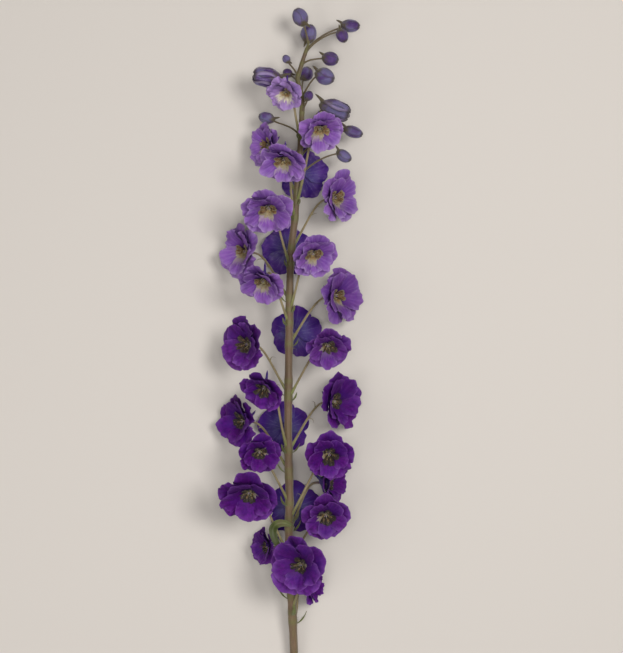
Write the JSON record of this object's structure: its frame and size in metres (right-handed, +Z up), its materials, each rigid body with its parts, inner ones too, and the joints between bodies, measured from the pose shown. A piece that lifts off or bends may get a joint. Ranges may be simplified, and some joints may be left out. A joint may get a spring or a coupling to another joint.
{
  "type": "delphinium flower spike",
  "caption": "Cut delphinium spike lying on its florets: semi-double violet florets with pale eyes round a tall green-tan stem, buds at the tip.",
  "frame": {"origin": "under the middle of the whole spike, on the surface that it rests on", "axes": "+Y along the stem from the cut end toward the tip, +Z up from the surface, +X to the right seen from above with the tip away"},
  "size_m": [0.1234, 0.6104, 0.0808],
  "materials": {
    "stem": "matte",
    "petal": "matte",
    "eye": "matte"
  },
  "bodies": {
    "root": {"stem": "stem", "floret_01": "petal", "floret_02": "petal", "floret_03": "petal", "floret_04": "petal", "floret_05": "petal", "floret_06": "petal", "floret_07": "petal", "floret_08": "petal", "floret_09": "petal", "floret_10": "petal", "floret_11": "petal", "floret_12": "petal", "floret_13": "petal", "floret_14": "petal", "floret_15": "petal", "floret_16": "petal", "floret_17": "petal", "floret_18": "petal", "floret_19": "petal", "floret_20": "petal", "floret_21": "petal", "floret_22": "petal", "floret_23": "petal", "floret_24": "petal", "floret_25": "petal", "floret_26": "petal", "floret_27": "petal", "floret_28": "petal", "eye_01": "eye", "eye_02": "eye", "eye_03": "eye", "eye_04": "eye", "eye_05": "eye", "eye_06": "eye", "eye_07": "eye", "eye_08": "eye", "eye_09": "eye", "eye_10": "eye", "eye_11": "eye", "eye_12": "eye", "eye_13": "eye", "eye_14": "eye", "eye_15": "eye", "eye_16": "eye", "eye_17": "eye", "eye_18": "eye", "eye_19": "eye", "eye_20": "eye", "eye_21": "eye", "eye_22": "eye", "eye_23": "eye", "eye_24": "eye", "eye_25": "eye", "eye_26": "eye", "eye_27": "eye", "eye_28": "eye"}
  },
  "joints": []
}
